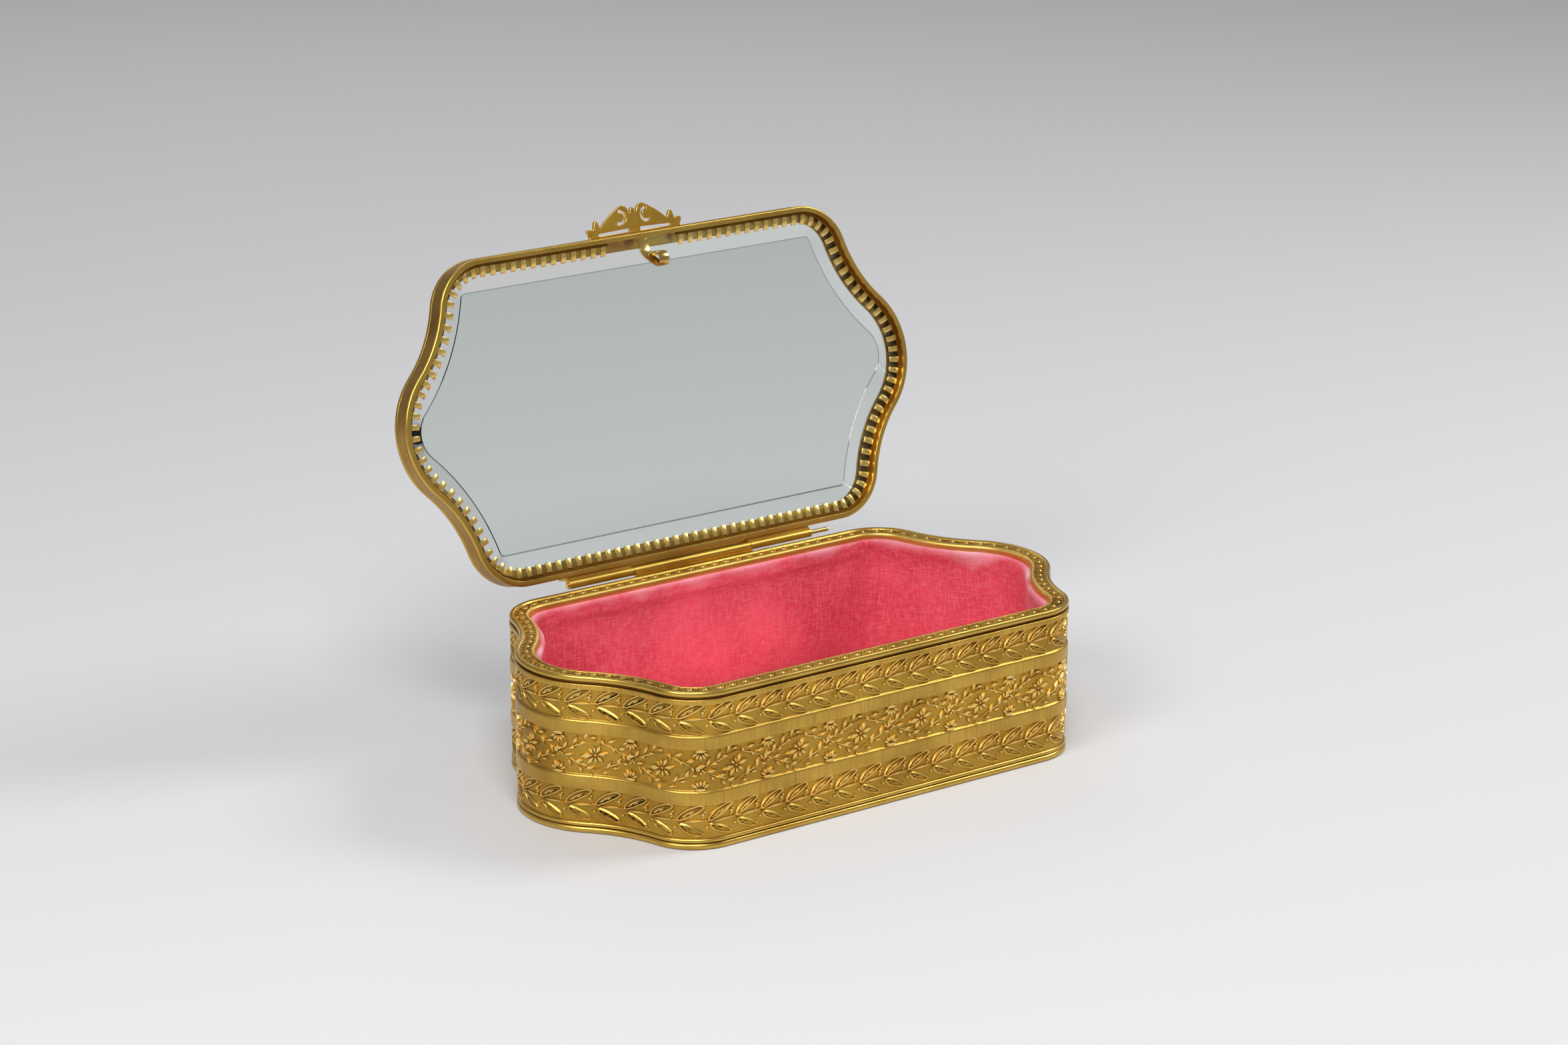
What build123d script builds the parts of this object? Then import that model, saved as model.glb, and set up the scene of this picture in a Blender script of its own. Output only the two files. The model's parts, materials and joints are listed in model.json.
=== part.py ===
from build123d import *

import os
from math import cos, degrees, radians, sin

# A gilt brass casket with a bevelled glass lid, lined in velvet.
# Millimetres, +Z up, +Y towards the hinge. The origin is the middle of the underside.
# The case is modelled as it stands. The lid is drawn shut and then swung open about its pin.

# Plan of the body: a straight front and back, rounded corners, a hollow waist and a round nose at each end.
half_length = 80.0
half_depth = 42.8
corner_radius = 14.2
corner_turn = 75.7
waist_radius = 37.0
nose_turn = 44.5

# Heights up the case.
base_bead_height = 2.9
wall_top = 39.4
rim_height = 1.6

# Side wall: one strip of sheet, with flat mouldings proud of three ornament fields.
wall_thickness = 0.9
field_depth = 0.6
moulding_foot = 0.2
moulding_shoulder = 0.45
lower_moulding = (11.6, 15.4)
upper_moulding = (26.1, 29.7)
top_moulding_height = 1.8

# Base: a flat plate inside a thick bead with a thin bead above it.
base_plate_thickness = 1.2
thick_bead_height = 1.6
thick_bead_round = 0.5
thin_bead_inset = 0.1

# Rim: an outer bead, an engraved flange and a plain lip turned down inside it.
rim_bead_width = 1.5
rim_bead_round = 0.5
rim_flange_width = 4.2
rim_flange_thickness = 1.15
lip_width = 1.0
lip_drop = 1.0
lip_rise = 0.3

# Velvet lining: a padded strip round the wall, and a padded floor on a card.
soft_gap = 0.3
velvet_thickness = 3.6
velvet_roll = 1.0
floor_card_thickness = 1.2
pad_edge_height = 5.4
pad_roll = 1.6
pad_crown = 1.3
pad_slope = 7.0

# Lid frame: a facing bead, an upright band, and a flange with its own bead over the glass.
lid_gap = 0.3
lid_bead_width = 1.6
lid_bead_height = 1.3
lid_bead_round = 0.4
band_inset = 0.2
band_thickness = 0.9
band_height = 3.55
bezel_bead_width = 1.3
bezel_bead_height = 1.2
bezel_bead_round = 0.5
bezel_flange_width = 3.6
bezel_flange_thickness = 0.65
bezel_lip_width = 0.9
bezel_lip_height = 1.05

# Glass: its flat has sharp corners, and its bevel is wider at the front than at the ends.
glass_thickness = 3.5
glass_edge = 1.3
glass_side_gap = 0.5
glass_seat_gap = 0.1
bevel_front_width = 8.8
bevel_end_width = 7.0
bevel_corner_radius = 0.8
bevel_nose_radius = 1.7

# Gallery: a flat strip soldered inside the band, with claws bent up over the bevel of the glass.
claw_sheet = 0.4
claw_pitch = 3.1
claw_slot_width = 1.2
claw_root = 0.3
claw_length = 2.6
claw_arch = 0.55
gallery_web = 1.3
gallery_gap = 19.0

# Hinge.
knuckle_radius = 1.2
pin_radius = 0.6
pin_clearance = 0.03
hinge_behind = 1.76
hinge_above_lid_face = 0.5
leaf_thickness = 0.8
leaf_height = 4.4
centre_knuckle = 37.6
side_knuckle = 20.0
knuckle_gap = 0.12
leaf_relief = 0.25
pin_left_end = 0.4
pin_right_end = 6.0
open_angle = 104.6

# Thumbpiece: points of its right half, as the distance from the middle and the distance out from the lid.
thumb_thickness = 1.0
thumb_drop = 0.15
bud_foot = (15.7, 0.0)
bud_side = (16.0, 1.5)
bud_tip = (14.8, 2.8)
leaf_side = (14.3, 4.4)
leaf_tip = (12.4, 3.6)
hollow = (11.8, 3.5)
scroll_foot = (11.2, 3.9)
scroll_side = (7.2, 6.6)
scroll_top = (3.4, 7.7)
scroll_shoulder = (1.9, 7.1)
scroll_inner = (1.3, 5.7)
tongue_foot = (0.75, 5.5)
tongue_side = (0.6, 6.3)
tongue_tip = (0.0, 6.9)
slot_inner = (1.7, 0.55)
slot_outer = (12.4, 1.35)
eye_centre = (4.2, 4.6)
eye_radius = 1.65
eye_width = 0.7
eye_start = 80
eye_turn = 225

# Catch: one strip of spring brass, bent to a loop.
catch_width = 3.0
catch_sheet = 0.5
catch_clearance = 0.5
catch_drop = 7.8
catch_lean = 3.4
catch_knee_bend = 0.8
catch_heel_bend = 0.9
catch_toe_bend = 0.7
catch_nose_height = 2.4
catch_root_gap = 0.7
catch_root_above = 1.0
catch_knee_above = 0.15
catch_toe_rise = 0.9
catch_curl = 0.5

# Derived places.
waist_turn = corner_turn + nose_turn - 90.0
rim_top = wall_top + rim_height
lid_face = rim_top + lid_gap
wall_inner = -(field_depth + wall_thickness)
lip_inner = -(rim_flange_width + lip_width)
velvet_outer = wall_inner - soft_gap
velvet_inner = velvet_outer - velvet_thickness
floor_level = base_plate_thickness + floor_card_thickness
lining_top = wall_top - lip_drop - soft_gap
band_base = lid_face + lid_bead_height
band_top = band_base + band_height
band_inner = -(band_inset + band_thickness)
glass_side = band_inner - glass_side_gap
glass_base = band_base + claw_arch + claw_sheet + glass_seat_gap
hinge_y = half_depth + hinge_behind
hinge_z = lid_face + hinge_above_lid_face
hinge_length = centre_knuckle + 2 * side_knuckle + 2 * knuckle_gap


def arc_reach():
    """How far arcs of unit radius reach along X and Y: the corner, the waist and half of the nose."""
    steep = radians(corner_turn)
    shallow = radians(90 - nose_turn)
    corner = Vector(sin(steep), 1 - cos(steep))
    waist = Vector(sin(steep) - sin(shallow), cos(shallow) - cos(steep))
    nose = Vector(1 - sin(shallow), cos(shallow))
    return corner, waist, nose


def plan_shape():
    """Half of the straight side, and the nose radius, that close the plan."""
    corner, waist, nose = arc_reach()
    nose_radius = (half_depth - corner_radius * corner.Y - waist_radius * waist.Y) / nose.Y
    bends = corner * corner_radius + waist * waist_radius + nose * nose_radius
    return half_length - bends.X, nose_radius


def bevel_shape():
    """Half of the straight side, and the waist radius, that close the flat of the glass."""
    corner, waist, nose = arc_reach()
    depth = half_depth - bevel_front_width
    bevel_waist = (depth - bevel_corner_radius * corner.Y - bevel_nose_radius * nose.Y) / waist.Y
    bends = corner * bevel_corner_radius + waist * bevel_waist + nose * bevel_nose_radius
    return half_length - bevel_end_width - bends.X, bevel_waist


straight_half, nose_radius = plan_shape()


def runs(straight, depth, corner, waist, nose):
    """Yields the runs of an outline, clockwise from the back left: start, heading, size and turn."""
    place = Vector(-straight, depth, 0)
    heading = Vector(1, 0, 0)
    bends = [
        (corner, -corner_turn),
        (waist, waist_turn),
        (nose, -2 * nose_turn),
        (waist, waist_turn),
        (corner, -corner_turn),
    ]
    for side in range(2):
        yield place, heading, 2 * straight, 0.0
        place = place + heading * (2 * straight)
        for radius, turn in bends:
            yield place, heading, radius, turn
            edge = JernArc(start=place, tangent=heading, radius=radius, arc_size=turn)
            place = edge @ 1
            heading = edge % 1


def plan_runs(outset=0.0):
    """The runs of the plan, moved outwards by the outset."""
    return runs(
        straight_half,
        half_depth + outset,
        corner_radius + outset,
        waist_radius - outset,
        nose_radius + outset,
    )


def outline(its_runs):
    """The closed wire of an outline's runs."""
    edges = []
    for place, heading, size, turn in its_runs:
        if turn == 0.0:
            edges.append(Line(place, place + heading * size))
        else:
            edges.append(JernArc(start=place, tangent=heading, radius=size, arc_size=turn))
    return Wire(edges)


def slab(outset, low, high):
    """A solid plate of the plan's shape."""
    return extrude(Pos(0, 0, low) * make_face(outline(plan_runs(outset))), amount=high - low)


def polygon(*points):
    """A face with straight sides through the points."""
    return make_face(Polyline(*points, close=True))


def moulded(*points):
    """Carries a section, drawn by points of (outset, height), round the plan."""
    section = polygon(*points)
    pieces = []
    for place, heading, size, turn in plan_runs():
        outward = Vector(-heading.Y, heading.X, 0)
        drawn = Plane(origin=place, x_dir=outward, z_dir=heading) * section
        if turn == 0.0:
            pieces.append(extrude(drawn, amount=size, dir=heading))
        else:
            side = 1 if turn > 0 else -1
            centre = place + outward * (side * size)
            pieces.append(revolve(drawn, Axis(centre, (0, 0, side)), abs(turn)))
    return pieces[0].fuse(*pieces[1:])


def lidded(solid):
    """Swings a piece of the shut lid open about the pin."""
    axis = Axis((0, hinge_y, hinge_z), (1, 0, 0))
    return solid.rotate(axis, -open_angle)


# Case.


def make_base_plate():
    return slab(wall_inner, 0, base_plate_thickness)


def make_base_bead():
    return moulded(
        (wall_inner, 0),
        (-thick_bead_round, 0),
        (0, thick_bead_round),
        (0, thick_bead_height - thick_bead_round),
        (-thick_bead_round, thick_bead_height),
        (-thin_bead_inset, (thick_bead_height + base_bead_height) / 2),
        (-field_depth, base_bead_height),
        (wall_inner, base_bead_height),
    )


def make_side_wall():
    low = base_bead_height
    points = [(wall_inner, wall_top), (wall_inner, low), (-field_depth, low)]
    for bottom, top in (lower_moulding, upper_moulding):
        points.append((-field_depth, bottom))
        points.append((0, bottom + moulding_foot))
        points.append((0, top - moulding_shoulder))
        points.append((-field_depth, top))
    points.append((-field_depth, wall_top - top_moulding_height))
    points.append((0, wall_top - top_moulding_height + moulding_foot))
    points.append((0, wall_top))
    return moulded(*points)


def make_top_rim():
    return moulded(
        (-rim_flange_width, wall_top),
        (-rim_bead_round, wall_top),
        (0, wall_top + rim_bead_round),
        (0, rim_top - rim_bead_round),
        (-rim_bead_round, rim_top),
        (-rim_bead_width, wall_top + rim_flange_thickness),
        (-rim_flange_width, wall_top + rim_flange_thickness),
    )


def make_rim_lip():
    low = wall_top - lip_drop
    high = wall_top + rim_flange_thickness + lip_rise
    return moulded(
        (lip_inner, low),
        (-rim_flange_width, low),
        (-rim_flange_width, high),
        (lip_inner + lip_rise, high),
        (lip_inner, high - lip_rise),
    )


def make_lining_velvet():
    return moulded(
        (velvet_outer, floor_level),
        (velvet_inner, floor_level),
        (velvet_inner, lining_top - velvet_roll),
        (velvet_inner + velvet_roll, lining_top),
        (velvet_outer, lining_top),
    )


def make_floor_card():
    return slab(velvet_outer, base_plate_thickness, floor_level)


def make_floor_pad():
    """A cushion with a rolled edge and a low crown."""
    edge = velvet_inner - soft_gap
    edge_top = floor_level + pad_edge_height
    middle = edge - pad_slope
    border = moulded(
        (middle, floor_level),
        (edge, floor_level),
        (edge, edge_top - pad_roll),
        (edge - pad_roll, edge_top),
        (middle, edge_top + pad_crown),
    )
    return border + slab(middle, floor_level, edge_top + pad_crown)


# Hinge.


def hinge_rod(start, length, radius):
    """A round rod on the hinge's axis."""
    along = Plane(origin=(start, hinge_y, hinge_z), z_dir=(1, 0, 0))
    return extrude(along * Circle(radius), amount=length)


def leaf(length, low, high):
    """The flat of a hinge leaf, against the back of the case or of the lid."""
    return Pos(0, half_depth, low) * Box(
        length, leaf_thickness, high - low, align=(Align.CENTER, Align.MIN, Align.MIN)
    )


def pin_bore():
    return hinge_rod(-hinge_length / 2, hinge_length, pin_radius + pin_clearance)


def make_hinge_leaf_case():
    flat = leaf(centre_knuckle, hinge_z - leaf_height, hinge_z)
    return flat + hinge_rod(-centre_knuckle / 2, centre_knuckle, knuckle_radius) - pin_bore()


def make_hinge_leaf_lid():
    flat = leaf(hinge_length, hinge_z, hinge_z + leaf_height)
    relief = Pos(0, hinge_y, hinge_z) * Box(
        centre_knuckle + 2 * knuckle_gap,
        2 * (hinge_behind + leaf_relief),
        2 * (knuckle_radius + leaf_relief),
    )
    start = centre_knuckle / 2 + knuckle_gap
    right = hinge_rod(start, side_knuckle, knuckle_radius)
    left = hinge_rod(-start - side_knuckle, side_knuckle, knuckle_radius)
    return flat - relief + right + left - pin_bore()


def make_hinge_pin():
    start = -hinge_length / 2 - pin_left_end
    return hinge_rod(start, hinge_length + pin_left_end + pin_right_end, pin_radius)


# Lid, drawn shut.


def make_lid_bead():
    return moulded(
        (-lid_bead_width, lid_face),
        (-lid_bead_round, lid_face),
        (0, lid_face + lid_bead_height / 2),
        (-lid_bead_round, band_base),
        (-lid_bead_width, band_base),
    )


def make_lid_band():
    return slab(-band_inset, band_base, band_top) - slab(band_inner, band_base, band_top)


def make_lid_bezel():
    return moulded(
        (-bezel_flange_width, band_top),
        (0, band_top),
        (0, band_top + bezel_bead_height - bezel_bead_round),
        (-bezel_bead_round, band_top + bezel_bead_height),
        (-bezel_bead_width, band_top + bezel_flange_thickness),
        (-bezel_flange_width, band_top + bezel_flange_thickness),
    )


def make_bezel_lip():
    return moulded(
        (-bezel_flange_width - bezel_lip_width, band_top),
        (-bezel_flange_width, band_top),
        (-bezel_flange_width, band_top + bezel_lip_height),
        (-bezel_flange_width - bezel_lip_width, band_top + bezel_lip_height),
    )


def make_glass():
    """A plate with a thin upright edge and a wide bevel up to its flat."""
    straight, waist = bevel_shape()
    depth = half_depth - bevel_front_width
    flat = outline(runs(straight, depth, bevel_corner_radius, waist, bevel_nose_radius))
    shoulder = outline(plan_runs(glass_side))
    layers = [(shoulder, glass_base + glass_edge), (flat, glass_base + glass_thickness)]
    bevel = loft([Pos(0, 0, height) * make_face(wire) for wire, height in layers], ruled=True)
    return slab(glass_side, glass_base, glass_base + glass_edge) + bevel


def claws():
    """Yields the claws: each run of the gallery's inner edge is divided evenly, and each claw is a flat tab."""
    bend = band_inner - gallery_web
    tip = -claw_length
    tab = polygon(
        (claw_root, 0),
        (0, 0),
        (tip, claw_arch),
        (tip, claw_arch + claw_sheet),
        (0, claw_sheet),
        (claw_root, claw_sheet),
    )
    width = claw_pitch - claw_slot_width
    for place, heading, size, turn in plan_runs(bend):
        edge = Line(place, place + heading * size)
        if turn != 0.0:
            edge = JernArc(start=place, tangent=heading, radius=size, arc_size=turn)
        count = round(edge.length / claw_pitch)
        for index in range(count):
            at = edge.position_at((index + 0.5) / count)
            along = edge.tangent_at((index + 0.5) / count)
            if at.Y > 0 or abs(at.X) > gallery_gap / 2:
                outward = Vector(-along.Y, along.X, 0)
                foot = at + Vector(0, 0, band_base)
                seat = Plane(origin=foot, x_dir=outward, z_dir=along)
                yield extrude(seat * tab, amount=width / 2, both=True)


def make_gallery():
    """The strip with its claws, open in front at the catch."""
    bend = band_inner - gallery_web
    strip = slab(band_inner, band_base, band_base + claw_sheet) - slab(bend, band_base, band_base + claw_sheet)
    gap = Pos(0, -half_depth, band_base) * Box(gallery_gap, 4 * claw_length, 4 * claw_length)
    return (strip - gap).fuse(*claws())


def make_thumbpiece():
    """Pierced plate of two leafy scrolls, with a slot and a C-shaped eye on each side."""
    right = [
        Line((0, 0), bud_foot),
        ThreePointArc(bud_foot, bud_side, bud_tip),
        ThreePointArc(bud_tip, leaf_side, leaf_tip),
        ThreePointArc(leaf_tip, hollow, scroll_foot),
        ThreePointArc(scroll_foot, scroll_side, scroll_top),
        ThreePointArc(scroll_top, scroll_shoulder, scroll_inner),
        Line(scroll_inner, tongue_foot),
        ThreePointArc(tongue_foot, tongue_side, tongue_tip),
    ]
    plate = make_face(Wire(right + [edge.mirror(Plane.YZ) for edge in right]))
    slot = polygon(slot_inner, (slot_outer[0], slot_inner[1]), slot_outer, (slot_inner[0], slot_outer[1]))
    outer = CenterArc(eye_centre, eye_radius + eye_width / 2, eye_start, eye_turn)
    inner = CenterArc(eye_centre, eye_radius - eye_width / 2, eye_start + eye_turn, -eye_turn)
    eye = make_face(Wire([outer, Line(outer @ 1, inner @ 0), inner, Line(inner @ 1, outer @ 0)]))
    face = plate - [slot, mirror(slot, Plane.YZ), eye, mirror(eye, Plane.YZ)]
    seat = Plane(
        origin=(0, -half_depth + band_inset, band_top - thumb_drop),
        x_dir=(1, 0, 0),
        z_dir=(0, 0, -1),
    )
    return extrude(seat * face, amount=thumb_thickness)


def make_catch():
    """The strip goes out from its root, down to the heel, and back up to a short nose."""
    front = -half_depth - lip_inner + catch_clearance + catch_sheet / 2
    root = (-half_depth - band_inner + catch_root_gap, lid_face + catch_root_above)
    knee = (front, lid_face + catch_knee_above)
    heel = (front + catch_lean, lid_face - catch_drop)
    toe = (front, lid_face - catch_drop + catch_toe_rise)
    nose = (front + catch_curl, lid_face - catch_drop + catch_nose_height)
    bends = (catch_knee_bend, catch_heel_bend, catch_toe_bend)
    path = Plane.YZ * FilletPolyline(root, knee, heel, toe, nose, radius=bends)
    start = Plane(origin=path @ 0, x_dir=(1, 0, 0), z_dir=path % 0)
    return sweep(start * Rectangle(catch_width, catch_sheet), path=path)


case_pieces = {
    "base_plate": make_base_plate(),
    "base_bead": make_base_bead(),
    "side_wall": make_side_wall(),
    "top_rim": make_top_rim(),
    "rim_lip": make_rim_lip(),
    "hinge_leaf_case": make_hinge_leaf_case(),
    "hinge_pin": make_hinge_pin(),
    "floor_card": make_floor_card(),
    "lining_velvet": make_lining_velvet(),
    "floor_pad": make_floor_pad(),
}

lid_pieces = {
    "lid_bead": make_lid_bead(),
    "lid_band": make_lid_band(),
    "lid_bezel": make_lid_bezel(),
    "bezel_lip": make_bezel_lip(),
    "lid_glass": make_glass(),
    "claw_gallery": make_gallery(),
    "hinge_leaf_lid": make_hinge_leaf_lid(),
    "thumbpiece": make_thumbpiece(),
    "catch_spring": make_catch(),
}

os.makedirs("parts", exist_ok=True)
for name, solid in case_pieces.items():
    export_step(solid, f"parts/{name}.step")
for name, solid in lid_pieces.items():
    export_step(lidded(solid), f"parts/{name}.step")
print("straight side", round(2 * straight_half, 2), "nose radius", round(nose_radius, 2))
print("pin axis", round(hinge_y, 3), round(hinge_z, 3))
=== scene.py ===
import json
from math import cos, pi, radians, sin, tan

import bmesh
import bpy
from mathutils import Matrix, Vector, noise

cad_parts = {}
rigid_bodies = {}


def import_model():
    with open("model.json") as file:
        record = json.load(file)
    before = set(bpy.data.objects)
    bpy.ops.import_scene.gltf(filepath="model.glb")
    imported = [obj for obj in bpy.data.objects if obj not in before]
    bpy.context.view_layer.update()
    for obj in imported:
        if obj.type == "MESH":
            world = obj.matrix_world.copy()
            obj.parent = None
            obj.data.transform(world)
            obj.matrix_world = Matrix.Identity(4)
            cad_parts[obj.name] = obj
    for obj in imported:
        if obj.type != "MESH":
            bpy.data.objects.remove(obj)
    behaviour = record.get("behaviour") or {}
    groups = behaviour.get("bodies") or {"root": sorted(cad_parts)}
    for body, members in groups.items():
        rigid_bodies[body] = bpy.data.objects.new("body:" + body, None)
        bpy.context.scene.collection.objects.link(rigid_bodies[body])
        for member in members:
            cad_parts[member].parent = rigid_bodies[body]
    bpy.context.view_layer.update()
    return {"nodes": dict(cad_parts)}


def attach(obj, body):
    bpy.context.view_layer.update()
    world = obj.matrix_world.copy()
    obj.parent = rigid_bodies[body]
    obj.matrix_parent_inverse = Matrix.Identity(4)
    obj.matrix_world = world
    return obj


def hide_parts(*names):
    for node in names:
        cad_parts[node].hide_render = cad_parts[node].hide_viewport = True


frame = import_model()
nodes = frame["nodes"]
mm = 0.001

# Studio: a plain pale table under soft light, seen from the photograph's side.
# The camera stands a metre off, to the left of the front, and looks down at 17 degrees.

camera_azimuth = radians(-36.239)
camera_elevation = radians(17.403)
camera_roll = radians(0.21)
camera_distance = 1082.3 * mm
camera_right = -1.599 * mm
camera_up = 60.216 * mm

back = Vector((
    sin(camera_azimuth) * cos(camera_elevation),
    -cos(camera_azimuth) * cos(camera_elevation),
    sin(camera_elevation),
))
level = Vector((cos(camera_azimuth), sin(camera_azimuth), 0))
right = level * cos(camera_roll) + back.cross(level) * sin(camera_roll)
up = back.cross(right)
facing = Matrix((right, up, back)).transposed().to_4x4()
station = right * camera_right + up * camera_up + back * camera_distance
bpy.ops.object.camera_add()
camera = bpy.context.object
camera.matrix_world = Matrix.Translation(station) @ facing
camera.data.lens = 95.75
camera.data.sensor_width = 36
camera.data.clip_start = 0.02
bpy.context.scene.camera = camera
bpy.context.scene.view_settings.view_transform = "Standard"


def linear(hexed):
    """The linear colour of an sRGB hex value."""
    parts = [int(hexed[at:at + 2], 16) / 255 for at in (1, 3, 5)]
    return [
        part / 12.92 if part <= 0.04045 else ((part + 0.055) / 1.055) ** 2.4 for part in parts
    ] + [1.0]


def add(tree, kind, links=None, **settings):
    """Adds a node. A setting names a property or an unlinked socket, and links feed sockets."""
    node = tree.nodes.new(kind)
    for name, value in settings.items():
        if hasattr(node, name):
            setattr(node, name, value)
        else:
            node.inputs[name.replace("_", " ")].default_value = value
    for name, output in (links or {}).items():
        tree.links.new(output, node.inputs[name])
    return node


def material(name):
    """A new material's node tree, empty."""
    made = bpy.data.materials.new(name)
    made.use_nodes = True
    made.node_tree.nodes.clear()
    return made, made.node_tree


# Matt painted board: an even pale grey without shine, on which only soft shadows show.
table_board, tree = material("matt_painted_board")
painted = add(tree, "ShaderNodeBsdfPrincipled", Base_Color=linear("#D6D6D8"), Roughness=0.7)
add(tree, "ShaderNodeOutputMaterial", {"Surface": painted.outputs[0]})
bpy.ops.mesh.primitive_plane_add(size=8)
table = bpy.context.object
table.name = "table"
table.data.materials.append(table_board)

lamp_aim = Vector((0, 0, 0.05))
for name, spot, width, power in (
    ("key_softbox", (0.8, -0.3, 0.75), 0.4, 5.2),
    ("overhead_softbox", (-0.4, -0.62, 0.92), 0.4, 6.4),
    ("left_softbox", (-0.95, -0.35, 0.85), 0.5, 6.2),
    ("back_softbox", (0.3, 1.0, 0.8), 0.6, 1.5),
):
    bpy.ops.object.light_add(type="AREA", location=spot)
    lamp = bpy.context.object
    lamp.name = name
    lamp.data.size = width
    lamp.data.energy = power
    lamp.rotation_euler = (lamp_aim - Vector(spot)).to_track_quat("-Z", "Y").to_euler()

studio = bpy.data.worlds.new("studio")
bpy.context.scene.world = studio
studio.use_nodes = True
studio.node_tree.nodes.clear()
sky = add(studio.node_tree, "ShaderNodeBackground", Color=linear("#E4E4E6"), Strength=0.38)
add(studio.node_tree, "ShaderNodeOutputWorld", {"Surface": sky.outputs[0]})

# Base plate: flat sheet brass, cut to the plan and soldered inside the foot.
# It shows only from below, where the gilding never wore and is an even satin.


def gilt_brass(name, bright, brown, roughness, grain, depth, patina_and_shade=0.0, upright=1.0, speckle=0.2):
    """Gilding worn in patches: bright turns brown, over a grain of the given size and depth in mm.

    Patina and shade is the share of dark brown laid in the recesses, as patina and as painted shade.
    Upright draws the grain out that many times up the wall, and speckle is how brown the hollows
    of the grain are."""
    patch_size = 14 * mm
    recess_reach = 0.55 * mm
    made, tree = material(name)
    where = add(tree, "ShaderNodeTexCoord").outputs["Object"]
    patches = add(tree, "ShaderNodeTexNoise", {"Vector": where}, Scale=1 / patch_size, Detail=4.0)
    worn = add(
        tree, "ShaderNodeMapRange", {"Value": patches.outputs["Fac"]},
        From_Min=0.4, From_Max=0.75, To_Min=0.0, To_Max=0.8,
    )
    gold = add(tree, "ShaderNodeMix", {"Factor": worn.outputs[0]}, data_type="RGBA")
    gold.inputs[6].default_value = linear(bright)
    gold.inputs[7].default_value = linear(brown)
    colour = gold.outputs[2]
    # Dark brown where ambient occlusion finds recesses: patina, and painted shade in the recesses.
    if patina_and_shade:
        recess = add(tree, "ShaderNodeAmbientOcclusion", samples=6, Distance=recess_reach)
        depth_of = add(
            tree, "ShaderNodeMapRange", {"Value": recess.outputs["AO"]},
            From_Min=0.3, From_Max=0.85, To_Min=patina_and_shade, To_Max=0.0,
        )
        recess_shade_and_patina = add(tree, "ShaderNodeMix", {"Factor": depth_of.outputs[0]}, data_type="RGBA")
        tree.links.new(colour, recess_shade_and_patina.inputs[6])
        recess_shade_and_patina.inputs[7].default_value = linear("#4A3210")
        colour = recess_shade_and_patina.outputs[2]
    drawn_out = add(tree, "ShaderNodeMapping", {"Vector": where}, Scale=(1, 1, 1 / upright))
    fine = add(
        tree, "ShaderNodeTexNoise", {"Vector": drawn_out.outputs[0]}, Scale=1 / (grain * mm), Detail=2.0,
    )
    speckled = add(
        tree, "ShaderNodeMapRange", {"Value": fine.outputs["Fac"]},
        From_Min=0.5, From_Max=0.75, To_Min=0.0, To_Max=speckle,
    )
    grained = add(tree, "ShaderNodeMix", {"Factor": speckled.outputs[0]}, data_type="RGBA")
    tree.links.new(colour, grained.inputs[6])
    grained.inputs[7].default_value = linear(brown)
    colour = grained.outputs[2]
    dull = add(
        tree, "ShaderNodeMapRange", {"Value": fine.outputs["Fac"]},
        To_Min=roughness - 0.08, To_Max=roughness + 0.08,
    )
    bump = add(tree, "ShaderNodeBump", {"Height": fine.outputs["Fac"]}, Strength=1.0, Distance=depth * mm)
    metal = add(
        tree, "ShaderNodeBsdfPrincipled",
        {"Base Color": colour, "Roughness": dull.outputs[0], "Normal": bump.outputs[0]},
        Metallic=1.0,
    )
    add(tree, "ShaderNodeOutputMaterial", {"Surface": metal.outputs[0]})
    return made


def dress(piece, finish):
    """Gives a piece its one material."""
    piece.data.materials.clear()
    piece.data.materials.append(finish)


# Gilt brass, left satin from the bath: a plain warm gold with a soft, broad shine.
plain_gilding = gilt_brass("gilt_brass_satin", "#D2AC50", "#A67F34", 0.34, 1.2, 0.008)
dress(nodes["base_plate"], plain_gilding)

# Foot: a thick drawn bead of gilt brass with a thin one above it, soldered round the base plate.
# It is bent to the plan: a straight front and back, round corners, and at each end a round nose
# between two hollow waists.

half_length = 80.0 * mm
half_depth = 42.8 * mm
corner_radius = 14.2 * mm
corner_turn = radians(75.7)
waist_radius = 37.0 * mm
nose_turn = radians(44.5)
waist_turn = corner_turn + nose_turn - pi / 2
corner_reach = Vector((sin(corner_turn), 1 - cos(corner_turn)))
waist_reach = Vector((sin(corner_turn) - cos(nose_turn), sin(nose_turn) - cos(corner_turn)))
nose_reach = Vector((1 - cos(nose_turn), sin(nose_turn)))
nose_radius = (half_depth - corner_radius * corner_reach.y - waist_radius * waist_reach.y) / nose_reach.y
bends = corner_radius * corner_reach + waist_radius * waist_reach + nose_radius * nose_reach
straight_half = half_length - bends.x


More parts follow.
